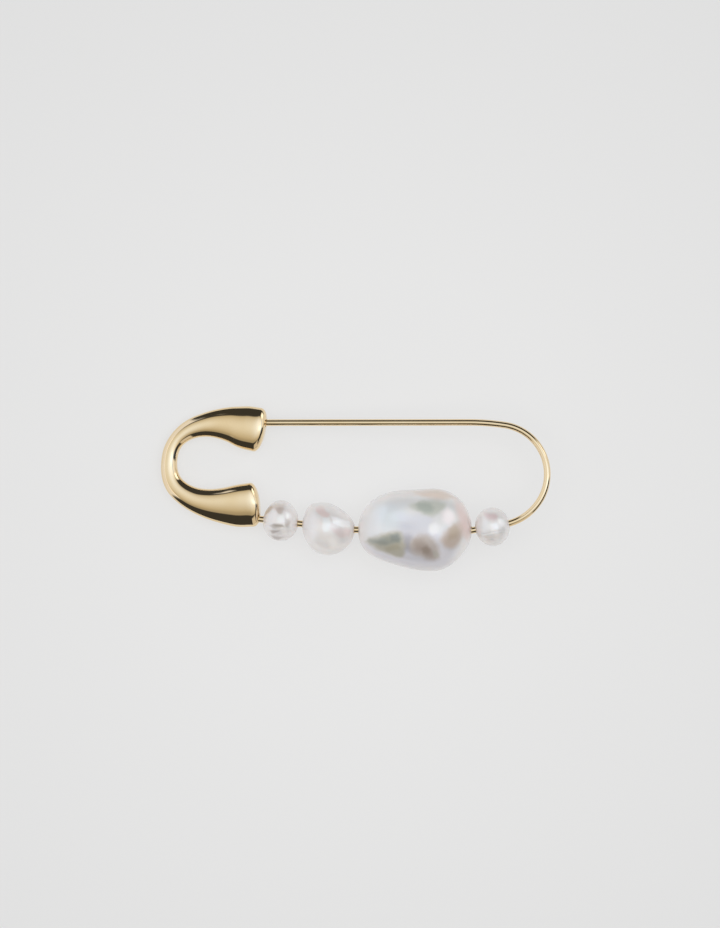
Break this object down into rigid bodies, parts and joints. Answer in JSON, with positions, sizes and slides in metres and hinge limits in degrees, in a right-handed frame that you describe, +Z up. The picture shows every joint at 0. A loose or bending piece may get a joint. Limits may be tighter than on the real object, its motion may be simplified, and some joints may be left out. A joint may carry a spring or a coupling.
{
  "type": "pearl brooch",
  "caption": "Safety-pin brooch lying flat: a flared horseshoe clasp closes on a sprung needle wire that carries drilled freshwater pearls.",
  "frame": {"origin": "on the table under the middle of the brooch's footprint", "axes": "+X along the needle from the clasp to the bow, +Y across the brooch from the pearls to the needle, +Z up from the table"},
  "size_m": [0.0702, 0.0298, 0.0132],
  "materials": {
    "plated_cast_clasp": "cast and polished, pale gold plate",
    "plated_spring_wire": "drawn spring wire, pale gold plate",
    "white_nacre": "white freshwater nacre, satin lustre",
    "silver_nacre": "silver-white baroque nacre, high lustre"
  },
  "bodies": {
    "root": {"clasp": "plated_cast_clasp", "pin_wire": "plated_spring_wire", "pearl_button": "white_nacre", "pearl_drop": "white_nacre", "pearl_baroque": "silver_nacre", "pearl_round": "white_nacre"}
  },
  "joints": []
}
